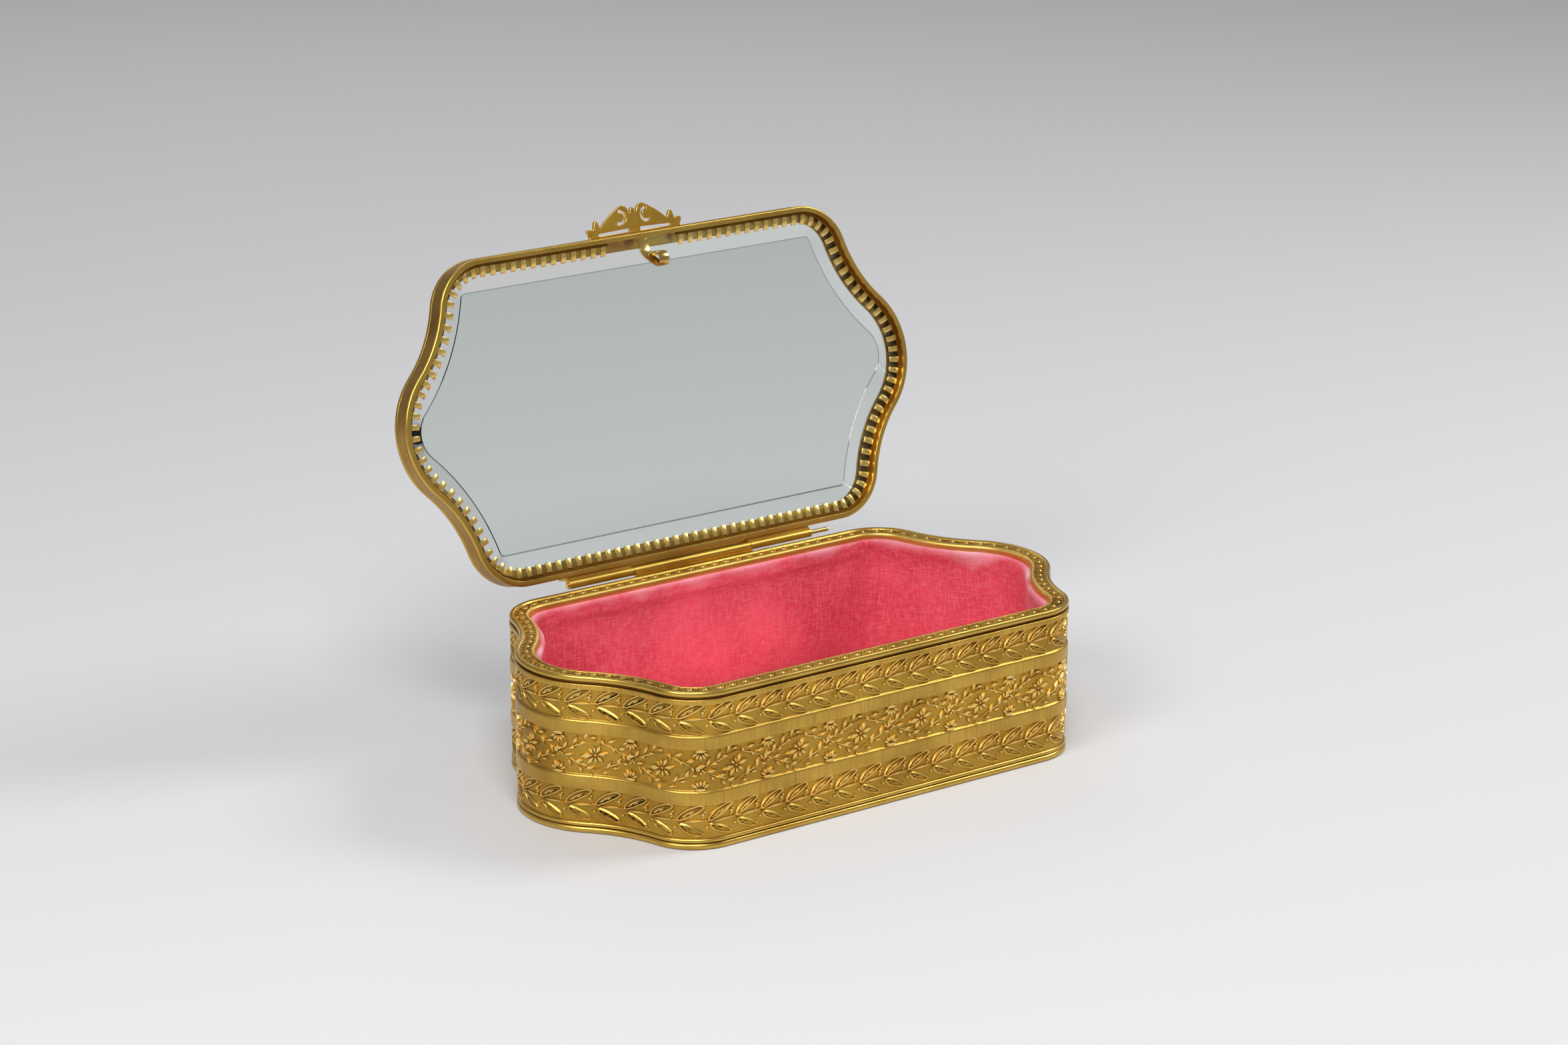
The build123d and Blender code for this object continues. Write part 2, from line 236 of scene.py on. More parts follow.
def outline(name, height, depth, straight, corner, waist, nose):
    """A closed curve of the plan's form, anticlockwise, that starts at the middle of the back."""
    half_round = [
        (straight, 0),
        (corner, corner_turn),
        (waist, -waist_turn),
        (nose, 2 * nose_turn),
        (waist, -waist_turn),
        (corner, corner_turn),
        (straight, 0),
    ]
    place = Vector((0, depth, height))
    angle = pi
    knots = []
    for size, turn in half_round * 2:
        heading = Vector((cos(angle), sin(angle), 0))
        reach = size / 3 if turn == 0 else 4 / 3 * tan(abs(turn) / 4) * size
        knots.append((place, heading, reach))
        if turn == 0:
            place = place + heading * size
        else:
            centre = place + Vector((-heading.y, heading.x, 0)) * (size if turn > 0 else -size)
            place = centre + Matrix.Rotation(turn, 3, "Z") @ (place - centre)
            angle += turn
    knots = knots[1:] + knots[:1]
    data = bpy.data.curves.new(name, "CURVE")
    data.dimensions = "3D"
    data.resolution_u = 20
    spline = data.splines.new("BEZIER")
    spline.bezier_points.add(len(knots) - 1)
    spline.use_cyclic_u = True
    befores = knots[-1:] + knots[:-1]
    for point, (place, heading, reach), before in zip(spline.bezier_points, knots, befores):
        point.co = place
        point.handle_left_type = "FREE"
        point.handle_right_type = "FREE"
        point.handle_left = place - heading * before[2]
        point.handle_right = place + heading * reach
    made = bpy.data.objects.new(name, data)
    bpy.context.collection.objects.link(made)
    return made


def plan(name, outset, height=0.0):
    """The plan of the body, moved outwards. Both numbers are in mm."""
    out = outset * mm
    return outline(
        name, height * mm, half_depth + out, straight_half,
        corner_radius + out, waist_radius - out, nose_radius + out,
    )


def only(piece):
    """Leaves this piece alone selected and active."""
    bpy.ops.object.select_all(action="DESELECT")
    piece.select_set(True)
    bpy.context.view_layer.objects.active = piece


def rounded(corners, steps=4):
    """Points along a section whose corners, (outset, height, radius) in mm, are eased."""
    points = []
    for index, (outset, height, radius) in enumerate(corners):
        corner = Vector((outset, height))
        if radius == 0:
            points.append(corner)
            continue
        start = corner + (Vector(corners[index - 1][:2]) - corner).normalized() * radius
        end = corner + (Vector(corners[(index + 1) % len(corners)][:2]) - corner).normalized() * radius
        for step in range(steps + 1):
            share = step / steps
            points.append(start.lerp(corner, share).lerp(corner.lerp(end, share), share))
    return points


def moulding(name, corners, smooth=40):
    """A section carried round the plan, as drawn strip is, with its corners listed anticlockwise.

    Each corner is (outset, height, radius) in mm, and edges flatter than the angle are smooth."""
    points = rounded(corners)
    path = plan(name, 0.0)
    data = bpy.data.curves.new(name + "_section", "CURVE")
    data.dimensions = "2D"
    spline = data.splines.new("POLY")
    spline.points.add(len(points) - 1)
    spline.use_cyclic_u = True
    for spot, point in zip(spline.points, points):
        spot.co = (point.x * mm, point.y * mm, 0, 1)
    section = bpy.data.objects.new(name + "_section", data)
    bpy.context.collection.objects.link(section)
    path.data.bevel_mode = "OBJECT"
    path.data.bevel_object = section
    only(path)
    bpy.ops.object.convert(target="MESH")
    made = bpy.context.object
    bpy.data.objects.remove(section)
    bpy.ops.object.shade_smooth_by_angle(angle=radians(smooth))
    return made


# Gilt brass, burnished by hands: a clear bright gold, brown only in its quirks, as patina and painted
# shade.
bright_gilding = gilt_brass("gilt_brass_burnished", "#D6B056", "#B48D3A", 0.3, 2.5, 0.004, patina_and_shade=0.5)
# Gilt brass, dark: the dull brown of old lacquer and dust where no cloth reaches, laid also in grooves
# and gaps as painted shade.
shade_and_dust_gilding = gilt_brass("gilt_brass_shade_and_dust", "#8A6428", "#5C3F16", 0.5, 0.3, 0.02, patina_and_shade=0.6)
foot_top = 2.9
foot_groove = (1.62, 1.86)
base_bead = moulding("foot_beads", [
    (-1.5, 0, 0), (-0.4, 0, 0.3), (0, 0.45, 0.3), (0, 1.2, 0.3), (-0.4, 1.6, 0.25), (-0.75, 1.75, 0.08),
    (-0.25, 1.85, 0.15), (-0.1, 2.15, 0.15), (-0.1, 2.5, 0.2), (-0.35, 2.8, 0.15),
    (-0.8, foot_top, 0), (-1.5, foot_top, 0),
])
dress(base_bead, bright_gilding)
base_bead.data.materials.append(shade_and_dust_gilding)
# The groove between the beads is in the dark gilding: painted shade.
for face in base_bead.data.polygons:
    if foot_groove[0] < face.center.z / mm < foot_groove[1]:
        face.material_index = 1
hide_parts("base_bead")
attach(base_bead, "case")

# Side wall: one strip of embossed sheet brass bent to the plan, its seam hidden by the hinge.
# Flat mouldings stand proud between three ornament fields, whose ground is matted with a punch.

# Gilt brass, matted: a deeper, granular gold without clear highlights, heavily browned in its recesses
# as patina and as painted shade that outlines the relief.
matted_gilding = gilt_brass(
    "gilt_brass_matted", "#C49C40", "#97702A", 0.44, 0.45, 0.04, patina_and_shade=0.85, speckle=0.45,
)
# Gilt brass, drawn: fine upright lines of light and brown. They are coarser than real draw marks,
# so that they show.
drawn_gilding = gilt_brass(
    "gilt_brass_drawn", "#D0A84E", "#A07A34", 0.36, 0.5, 0.035, patina_and_shade=0.45, upright=14.0, speckle=0.5,
)
# Gilt brass, pale: the palest gold, on ridges and edges, partly rubbed bright and partly a painted
# highlight.
ridge_highlight_gilding = gilt_brass("gilt_brass_ridge_highlights", "#F0D07A", "#DAB45E", 0.3, 0.8, 0.004)
ground = -0.6
wall_top = 39.4
wall_groove = 39.0
flat_mouldings = ((11.5, 15.45), (26.0, 29.75), (37.5, wall_top))
side_wall = moulding("wall_sheet", [
    (-1.5, foot_top, 0), (ground, foot_top, 0),
    (ground, 11.55, 0.1), (0, 11.7, 0.1), (0, 15.1, 0.5), (ground, 15.45, 0.15),
    (ground, 26.0, 0.1), (0, 26.15, 0.1), (0, 29.4, 0.5), (ground, 29.75, 0.15),
    (ground, 37.5, 0.1), (0, 37.65, 0.1), (0, 38.9, 0.25),
    (-0.75, 39.1, 0.08), (-0.75, wall_top, 0), (-1.5, wall_top, 0),
])
dress(side_wall, matted_gilding)
for finish in (drawn_gilding, shade_and_dust_gilding, ridge_highlight_gilding):
    side_wall.data.materials.append(finish)
# Above the groove under the rim, the wall is in the dark gilding: painted shade.
for face in side_wall.data.polygons:
    height = face.center.z / mm
    if height > wall_groove:
        face.material_index = 2
    # Faces of the mouldings that slope up are in the palest gilding, a painted highlight along their top
    # edges; the rest is drawn gilding.
    elif any(low < height < high for low, high in flat_mouldings):
        face.material_index = 3 if 0.3 < face.normal.z < 0.95 else 1
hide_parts("side_wall")
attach(side_wall, "case")

# Laurel garlands: pressed up from behind in the upper and lower fields of the brass wall.
# A stem runs to the right, with a leaf above and a leaf below at each joint, and berries between.


def pick(piece, test):
    """In edit mode, selects the points that pass a test on their place in mm."""
    shape = bmesh.from_edit_mesh(piece.data)
    for point in shape.verts:
        point.select = bool(test(point.co / mm))
    shape.select_flush(True)
    shape.select_flush(False)
    bmesh.update_edit_mesh(piece.data)


def leaf(
    length, width, height, ridge=0.0, bend=0.0, sides=8, point=0.45, crown=0.14, finish=ridge_highlight_gilding,
):
    """A raised leaf along +X from its foot at the origin, in mm, sunk a little into its ground.

    A ridge of that width runs round a sunk, matted blade. Point is how wide the tips stay, crown
    the share of the width over which each side slopes up, and bend turns the leaf, in degrees."""
    sunk = 0.12 * mm
    blade_lift = 0.12 * height * mm
    bpy.ops.object.select_all(action="DESELECT")
    bpy.ops.mesh.primitive_circle_add(vertices=sides, radius=0.5 * mm, fill_type="NGON")
    made = bpy.context.object
    made.data.materials.append(finish)
    made.data.materials.append(matted_gilding)
    bpy.ops.object.mode_set(mode="EDIT")
    bpy.ops.transform.resize(value=(length, width, 1))
    tips = (0.3 if sides == 8 else 0.4) * length
    pick(made, lambda at: abs(at.x) > tips and abs(at.y) > 1e-4)
    bpy.ops.transform.resize(value=(1, point, 1), center_override=(0, 0, 0))
    bpy.ops.mesh.select_all(action="SELECT")
    bpy.ops.transform.translate(value=(length / 2 * mm, 0, -sunk))
    rise = sunk + 0.3 * height * mm
    bpy.ops.mesh.extrude_region_move(TRANSFORM_OT_translate={"value": (0, 0, rise)})
    bpy.ops.mesh.inset(thickness=crown * width * mm, depth=0.7 * height * mm, use_even_offset=False)
    if ridge:
        bpy.ops.mesh.inset(thickness=ridge * mm, depth=0, use_even_offset=False)
        bpy.ops.mesh.inset(thickness=0.06 * width * mm, depth=-0.8 * height * mm, use_even_offset=False)
        made.active_material_index = 1
        bpy.ops.object.material_slot_assign()
        bpy.ops.mesh.bisect(plane_co=(0, 0, 0), plane_no=(0, 1, 0))
        bpy.ops.transform.translate(value=(0, 0, blade_lift))
    bpy.ops.object.mode_set(mode="OBJECT")
    if bend:
        curl = made.modifiers.new("curl", "SIMPLE_DEFORM")
        curl.deform_method = "BEND"
        curl.deform_axis = "Z"
        curl.angle = radians(bend)
        bpy.ops.object.modifier_apply(modifier=curl.name)
    return made


def laid(pattern, x, y, turn=0, size=1.0, flip=False):
    """A copy of a pattern, with its own mesh and its foot at a point in mm, turned in degrees."""
    made = pattern.copy()
    made.data = pattern.data.copy()
    bpy.context.collection.objects.link(made)
    made.matrix_world = (
        Matrix.Translation((x * mm, y * mm, 0))
        @ Matrix.Rotation(radians(turn), 4, "Z")
        @ Matrix.Diagonal((size, -size if flip else size, 1, 1))
    )
    return made


def joined(name, pieces):
    """Joins pieces into one mesh at the origin, with all its faces outwards."""
    bpy.ops.object.select_all(action="DESELECT")
    for piece in pieces:
        piece.select_set(True)
    bpy.context.view_layer.objects.active = pieces[0]
    bpy.ops.object.transform_apply(location=True, rotation=True, scale=True)
    if len(pieces) > 1:
        bpy.ops.object.join()
    bpy.ops.object.mode_set(mode="EDIT")
    bpy.ops.mesh.select_all(action="SELECT")
    bpy.ops.mesh.normals_make_consistent(inside=False)
    bpy.ops.object.mode_set(mode="OBJECT")
    made = bpy.context.object
    made.name = name
    return made


def clear(patterns):
    """Removes patterns once their copies are laid."""
    for pattern in patterns:
        bpy.data.objects.remove(pattern)


def repeated(name, unit, count, outset, height, upright=True):
    """Repeats a unit, drawn flat with +X along and +Y up the wall, so many times round the plan.

    With upright off it lies on a flange, with +Y inwards. Outset and height are in mm."""
    path = plan(name + "_path", outset)
    pitch = path.data.splines[0].calc_length() / count
    only(unit)
    if upright:
        unit.matrix_world = Matrix.Rotation(pi / 2, 4, "X")
    bpy.ops.object.transform_apply(location=True, rotation=True, scale=True)
    unit.location = (0, 0, height * mm)
    bpy.ops.object.transform_apply(location=True, rotation=True, scale=True)
    row = unit.modifiers.new("row", "ARRAY")
    row.count = count
    row.use_relative_offset = False
    row.use_constant_offset = True
    row.constant_offset_displace = (pitch, 0, 0)
    follow = unit.modifiers.new("follow", "CURVE")
    follow.object = path
    follow.deform_axis = "POS_X"
    for modifier in (row.name, follow.name):
        bpy.ops.object.modifier_apply(modifier=modifier)
    bpy.ops.object.shade_smooth_by_angle(angle=radians(38))
    bpy.data.objects.remove(path)
    unit.name = name
    return unit


laurel_joints = 55
for name, height in (("laurel_lower", 7.3), ("laurel_upper", 33.7)):
    # The upper leaf is in the palest gilding as a painted highlight, the lower leaf in the plainer gilding
    # as painted shade.
    upper_leaf = leaf(8.4, 2.4, 0.46, ridge=0.24, bend=-28, sides=14, crown=0.07)
    lower_leaf = leaf(7.2, 2.3, 0.36, ridge=0.24, bend=26, sides=14, finish=bright_gilding)
    rib = leaf(6.8, 0.5, 0.5, bend=-22)
    stem = leaf(8.6, 0.65, 0.46)
    stalk = leaf(1.9, 0.4, 0.24)
    vein = leaf(2.6, 0.45, 0.42)
    faint_vein = leaf(1.7, 0.26, 0.3, finish=matted_gilding)
    berry = leaf(0.95, 0.95, 0.5, point=1.0)
    unit = joined(name, [
        laid(upper_leaf, 1.6, 0.1, 43),
        laid(rib, 1.9, 0.3, 43),
        laid(vein, 2.9, 0.8, 42),
        laid(vein, 4.3, 1.7, 32),
        laid(lower_leaf, 2.1, -0.5, -37),
        laid(faint_vein, 3.0, -1.2, -12),
        laid(faint_vein, 3.9, -1.9, -50),
        laid(faint_vein, 4.6, -1.9, -8),
        laid(stem, 1.8, 0.0, 3),
        laid(stalk, 0.0, 0.3, 58),
        laid(berry, 0.35, 1.5, 75),
        laid(berry, 0.75, 2.3, 75, 0.7),
        laid(berry, 1.3, -1.1, -60, 0.8),
    ])
    clear([upper_leaf, lower_leaf, rib, stem, stalk, vein, faint_vein, berry])
    garland = repeated(name, unit, laurel_joints, ground, height)
    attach(garland, "case")

# Trellis of flowers: pressed up from behind in the middle field of the brass wall.
# Sprigs cross from edge to edge through beaded knots and leave lozenges with a flower in each.
# Half flowers stand on the mouldings below and above the knots.

lozenges = 22
trellis_middle = 20.75
pitch = 19.05
slope = 29
sprig_stem = leaf(10.6, 0.45, 0.3, bend=16)
sprig_leaf = leaf(2.7, 1.0, 0.5)
large_petal = leaf(3.5, 1.5, 0.56, point=0.6)
small_petal = leaf(2.4, 1.1, 0.52, point=0.6)
bead = leaf(0.75, 0.75, 0.44, point=1.0)
edge_bud = leaf(3.2, 1.1, 0.62, point=0.9)
pieces = []
for side in (1, -1):
    pieces.append(laid(edge_bud, -1.6, side * 5.0))
    for x, turn in ((0, slope), (pitch, 180 - slope)):
        pieces.append(laid(sprig_stem, x, 0, side * turn, flip=(side > 0) == (x == 0)))
        arm = Vector((cos(radians(turn)), side * sin(radians(turn))))
        leans = (64, 4) if (side > 0) == (x == 0) else (12, -58)
        for step, along in enumerate((1.4, 2.8, 4.4, 6.0, 7.6, 9.2)):
            foot = Vector((x, 0)) + arm * along
            pieces.append(laid(sprig_leaf, foot.x, foot.y, leans[step % 2], (1.1, 0.8)[step % 2]))
for turn, petal, size in (
    (188, large_petal, 1.0), (230, large_petal, 0.8), (14, large_petal, 0.85),
    (62, small_petal, 1.1), (98, small_petal, 0.75), (138, small_petal, 0.75),
    (-38, small_petal, 0.9), (-84, small_petal, 0.75),
):
    turned = radians(turn)
    pieces.append(laid(petal, pitch / 2 + 0.5 * cos(turned), 0.5 * sin(turned), turn, size))
pieces.append(laid(bead, pitch / 2 - 0.37, 0))
for x, y in ((-0.4, 0.1), (0.45, -0.1), (0, 0.7), (0.05, -0.75), (-0.9, 0.55), (0.9, -0.5)):
    pieces.append(laid(bead, x - 0.37, y, 0))
for side in (1, -1):
    for turn in (30, 60, 90, 120, 150):
        turned = radians(turn)
        foot = Vector((0.6 * cos(turned), -4.9 + 0.6 * sin(turned)))
        pieces.append(laid(small_petal, foot.x, side * foot.y, side * turn, 0.8))
trellis = joined("flower_trellis", pieces)
clear([sprig_stem, sprig_leaf, large_petal, small_petal, bead, edge_bud])
trellis = repeated("flower_trellis", trellis, lozenges, ground, trellis_middle)
dress(trellis, ridge_highlight_gilding)
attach(trellis, "case")

# Rim: a bead and a flange in one strip of gilt brass, soldered on the wall's edge.
# A row of ovals between crosses is pressed on the flange. A plain lip is turned down inside it,
# and covers the velvet's edge.

flange_top = 40.55
rim_groove = 39.65
top_rim = moulding("rim_strip", [
    (-4.2, wall_top, 0), (-0.75, wall_top, 0), (-0.7, 39.55, 0.05), (-0.05, 39.7, 0.25),
    (0, 40.3, 0.3), (-0.3, 41.0, 0.35), (-1.2, 41.0, 0.35), (-1.5, flange_top, 0.1), (-4.2, flange_top, 0),
])
dress(top_rim, bright_gilding)
top_rim.data.materials.append(shade_and_dust_gilding)
# The groove under the bead is in the dark gilding as painted shade; the flange's flat, between the ovals,
# as patina and painted shade.
for face in top_rim.data.polygons:
    on_flange = abs(face.center.z - flange_top * mm) < 0.05 * mm and face.normal.z > 0.9
    if on_flange or face.center.z < rim_groove * mm:
        face.material_index = 1
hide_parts("top_rim")
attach(top_rim, "case")

rim_lip = moulding("rim_lip_strip", [
    (-5.2, 38.4, 0.4), (-4.2, 38.4, 0.1), (-4.2, 40.85, 0.25), (-5.2, 40.85, 0.95),
])
# Gilt brass of the lip: pale, even and a little dull, paler than the rim as a painted highlight.
lip_highlight_gilding = gilt_brass("gilt_brass_lip", "#E0BE66", "#C29A48", 0.42, 2.5, 0.004)
dress(rim_lip, lip_highlight_gilding)
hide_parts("rim_lip")
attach(rim_lip, "case")


def guilloche(name, width, count, outset, height):
    """A pressed row of ovals between crossed ribbons, on a flange of that width in mm."""
    oval = leaf(2.0, 0.58 * width, 0.4, sides=10, point=0.9, crown=0.2)
    ribbon = leaf(1.25 * width, 0.42, 0.26)
    unit = joined(name, [
        laid(oval, -0.95, 0),
        laid(ribbon, 1.9 - 0.4 * width, -0.46 * width, 50),
        laid(ribbon, 1.9 - 0.4 * width, 0.46 * width, -50),
    ])
    clear([oval, ribbon])
    return repeated(name, unit, count, outset, height, upright=False)


ovals = 107
rim_ovals = guilloche("rim_ovals", 2.6, ovals, -2.85, flange_top)
# Gilt brass, pressed: small ridges of gold over brown, seen as a lively grain.
flange_gilding = gilt_brass("gilt_brass_flange", "#CCA652", "#96722F", 0.36, 0.4, 0.012, patina_and_shade=0.6)
dress(rim_ovals, flange_gilding)
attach(rim_ovals, "case")

# Hinge: three knuckles rolled from the edges of two brass leaves, which are soldered to the back
# of the case and of the lid. They turn on a wire pin that stands out at the right.

for name in ("hinge_leaf_case", "hinge_leaf_lid"):
    dress(nodes[name], plain_gilding)
# Polished brass wire and strip: yellow, smooth and sharp in its reflections.
polished_brass = gilt_brass("polished_brass", "#DDBC6E", "#B08D48", 0.2, 2.0, 0.004)
dress(nodes["hinge_pin"], polished_brass)

# Floor card: grey pasteboard cut to the plan and laid loose on the base plate.
# The padded floor is glued over it and hides it.

# Pasteboard: a dull grey brown, mottled by its fibres.
pasteboard, tree = material("grey_pasteboard")
fibre_size = 0.8 * mm
where = add(tree, "ShaderNodeTexCoord").outputs["Object"]
fibres = add(tree, "ShaderNodeTexNoise", {"Vector": where}, Scale=1 / fibre_size, Detail=5.0)
tones = add(tree, "ShaderNodeMix", {"Factor": fibres.outputs["Fac"]}, data_type="RGBA")
tones.inputs[6].default_value = linear("#6E5F49")
tones.inputs[7].default_value = linear("#8A7A60")
pressed = add(tree, "ShaderNodeBump", {"Height": fibres.outputs["Fac"]}, Distance=0.03 * mm)
board = add(
    tree, "ShaderNodeBsdfPrincipled",
    {"Base Color": tones.outputs[2], "Normal": pressed.outputs[0]}, Roughness=0.85,
)
add(tree, "ShaderNodeOutputMaterial", {"Surface": board.outputs[0]})
dress(nodes["floor_card"], pasteboard)

# Velvet: a padded strip round the wall and a padded floor, of crimson silk velvet glued over wadding.
# Its nap is paler along the top edge, and a painted highlight lies on the bulge of each waist.


def silk_velvet(name, warp, weft):
    """Crimson pile that catches light in soft patches, with fine crossed threads, paler where marked,
    partly as painted highlight.

    Warp and weft draw out the thread noise along each axis. Real threads are finer than these,
    which are as coarse as they need to be to show."""
    patch_size = 24 * mm
    thread_gap = 0.4 * mm
    made, tree = material(name)
    where = add(tree, "ShaderNodeTexCoord").outputs["Object"]
    nap = add(tree, "ShaderNodeTexNoise", {"Vector": where}, Scale=1 / patch_size, Detail=2.0)
    lay = add(tree, "ShaderNodeMapRange", {"Value": nap.outputs["Fac"]}, From_Min=0.3, From_Max=0.7)
    pile = add(tree, "ShaderNodeMix", {"Factor": lay.outputs[0]}, data_type="RGBA")
    pile.inputs[6].default_value = linear("#C42C44")
    pile.inputs[7].default_value = linear("#EA5268")
    colour = pile.outputs[2]
    heights = []
    for drawn in (warp, weft):
        along = add(tree, "ShaderNodeMapping", {"Vector": where}, Scale=drawn)
        thread = add(
            tree, "ShaderNodeTexNoise", {"Vector": along.outputs[0]}, Scale=1 / thread_gap, Detail=2.0,
        )
        share = add(
            tree, "ShaderNodeMapRange", {"Value": thread.outputs["Fac"]},
            From_Min=0.45, From_Max=0.75, To_Min=0.0, To_Max=0.4,
        )
        lighter = add(tree, "ShaderNodeMix", {"Factor": share.outputs[0]}, data_type="RGBA")
        tree.links.new(colour, lighter.inputs[6])
        lighter.inputs[7].default_value = linear("#F28894")
        colour = lighter.outputs[2]
        heights.append(thread.outputs["Fac"])
    # Paler nap where marked, partly a painted highlight on the waists.
    worn = add(tree, "ShaderNodeAttribute", attribute_name="pale_nap_and_sheen")
    faded = add(tree, "ShaderNodeMix", {"Factor": worn.outputs["Fac"]}, data_type="RGBA")
    tree.links.new(colour, faded.inputs[6])
    faded.inputs[7].default_value = linear("#F2BCC6")
    weave = add(tree, "ShaderNodeMath", operation="ADD")
    for socket, height in zip(weave.inputs, heights):
        tree.links.new(height, socket)
    tufts = add(tree, "ShaderNodeBump", {"Height": weave.outputs[0]}, Distance=0.06 * mm)
    cloth = add(
        tree, "ShaderNodeBsdfPrincipled",
        {"Base Color": faded.outputs[2], "Normal": tufts.outputs[0]},
        Roughness=0.9, Sheen_Weight=0.5, Sheen_Roughness=0.35, Sheen_Tint=linear("#F6B4BC"),
    )
    add(tree, "ShaderNodeOutputMaterial", {"Surface": cloth.outputs[0]})
    return made


def padded(piece, held, cap, skin_size=1.1):
    """Fills velvet with wadding: blown up as cloth at four times its size, held where it is glued.

    No point moves more than the cap. The cap and the skin's voxels are in mm."""
    grown = 4
    moments = 20
    only(piece)
    piece.data.transform(Matrix.Scale(grown, 4))
    skin = piece.modifiers.new("skin", "REMESH")
    skin.mode = "VOXEL"
    skin.voxel_size = skin_size * mm * grown
    bpy.ops.object.modifier_apply(modifier=skin.name)
    rest = [point.co.copy() for point in piece.data.vertices]
    glued = piece.vertex_groups.new(name="glued")
    glued.add([point.index for point in piece.data.vertices
               if held(point.co / grown / mm, point.normal)], 1.0, "REPLACE")
    wadding = piece.modifiers.new("wadding", "CLOTH")
    wadding.settings.use_pressure = True
    wadding.settings.uniform_pressure_force = 4
    wadding.settings.effector_weights.gravity = 0
    wadding.settings.vertex_group_mass = "glued"
    for moment in range(1, moments + 1):
        bpy.context.scene.frame_set(moment)
    bpy.ops.object.modifier_apply(modifier=wadding.name)
    bpy.context.scene.frame_set(1)
    for point, start in zip(piece.data.vertices, rest):
        shift = point.co - start
        if shift.length > cap * mm * grown:
            point.co = start + shift.normalized() * cap * mm * grown
    soften = piece.modifiers.new("soften", "SMOOTH")
    soften.factor = 0.5
    soften.iterations = 6
    bpy.ops.object.modifier_apply(modifier=soften.name)
    piece.data.transform(Matrix.Scale(1 / grown, 4))
    bpy.ops.object.shade_smooth()


def paled(piece, share):
    """Marks how much paler the nap is at each point."""
    pale_nap_and_sheen = piece.data.attributes.new("pale_nap_and_sheen", "FLOAT", "POINT")
    for point, mark in zip(piece.data.vertices, pale_nap_and_sheen.data):
        mark.value = max(0.0, min(1.0, share(point.co / mm)))


lining = moulding("velvet_wall", [
    (-5.1, 2.4, 0), (-1.8, 2.4, 0), (-1.8, 38.1, 0.3), (-5.3, 38.1, 0),
    (-5.3, 39.9, 0.4), (-6.5, 39.9, 0.7), (-6.5, 37.6, 0.8), (-5.1, 34.5, 2.0),
], smooth=80)
padded(
    lining, lambda at, facing: facing.x * at.x + facing.y * at.y > 0 or at.z < 3.4 or at.z > 37.2,
    cap=0.7, skin_size=0.85,
)
# The padding is pressed flat in the middle of the front, where the catch comes down.
catch_room = 4.0
pressed_to = -37.45
for point in lining.data.vertices:
    if abs(point.co.x) < catch_room * mm and point.co.y < 0:
        point.co.y = min(point.co.y, pressed_to * mm)


def wall_paling_and_sheen(at):
    """Paler along the turned edge and in patches there, and a painted highlight on the bulge of each waist.
    """
    edge_paling = 0.35 * (at.z - 37.0) / 2.5
    # The bulge of each waist is painted paler as a highlight.
    waist_sheen = 0.6 * max(0, 1 - abs(abs(at.x) - 69) / 4) * (abs(at.y) < 36)
    patches = 0.35 * (noise.noise(at / 6) if at.z > 35 else 0)
    return edge_paling + waist_sheen + patches


paled(lining, wall_paling_and_sheen)
dress(lining, silk_velvet("silk_velvet_wall", (1, 1, 0.16), (0.16, 0.16, 1)))
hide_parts("lining_velvet")
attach(lining, "case")

pad_foot = 2.4
pad_height = 5.4
edge = plan("velvet_floor", -5.8, pad_foot)
only(edge)
bpy.ops.object.convert(target="MESH")
floor_pad = bpy.context.object
bpy.ops.object.mode_set(mode="EDIT")
bpy.ops.mesh.select_all(action="SELECT")
bpy.ops.mesh.remove_doubles(threshold=0.01 * mm)
bpy.ops.mesh.edge_face_add()
bpy.ops.mesh.extrude_region_move(TRANSFORM_OT_translate={"value": (0, 0, pad_height * mm)})
bpy.ops.mesh.select_all(action="SELECT")
bpy.ops.mesh.normals_make_consistent(inside=False)
bpy.ops.object.mode_set(mode="OBJECT")
padded(floor_pad, lambda at, facing: at.z < 3.2, cap=1.3)
# The floor's nap is paler towards each end.
paled(floor_pad, lambda at: 0.35 * max(0, abs(at.x) / 72 - 0.6))
dress(floor_pad, silk_velvet("silk_velvet_floor", (1, 0.16, 1), (0.16, 1, 1)))
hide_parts("floor_pad")
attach(floor_pad, "case")

# Lid frame: a facing bead, an upright band and a flange with its own bead, of gilt brass strip,
# soldered in one ring. Its band is painted a darker brown as shade.
# Every piece of the lid is made shut and then swung open about the pin.

hinge = Vector((0, 44.56 * mm, 41.8 * mm))
open_angle = radians(104.6)


def opened(piece):
    """Swings a piece of the shut lid open."""
    only(piece)
    piece.matrix_world = (
        Matrix.Translation(hinge) @ Matrix.Rotation(-open_angle, 4, "X") @ Matrix.Translation(-hinge)
    )
    bpy.ops.object.transform_apply(location=True, rotation=True, scale=True)
    return piece


band_foot = 42.6
band_top = 46.15
bezel_top = 46.8
lid_bead = opened(moulding("lid_facing_bead", [
    (-1.6, 41.3, 0.1), (-0.3, 41.3, 0.25), (0, 41.95, 0.5), (-0.3, band_foot, 0.25), (-1.6, band_foot, 0),
]))
dress(lid_bead, bright_gilding)
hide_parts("lid_bead")
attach(lid_bead, "lid")

# Gilt brass, darkened: gold painted copper brown in patches, as the shade on the lid's band.
band_shade_gilding = gilt_brass("gilt_brass_band_shade", "#BC9142", "#7E5822", 0.36, 1.2, 0.01, patina_and_shade=0.4)
lid_band = opened(moulding("lid_upright_band", [
    (-1.1, band_foot, 0), (-0.2, band_foot, 0), (-0.2, band_top, 0), (-1.1, band_top, 0),
]))
dress(lid_band, band_shade_gilding)
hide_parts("lid_band")
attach(lid_band, "lid")

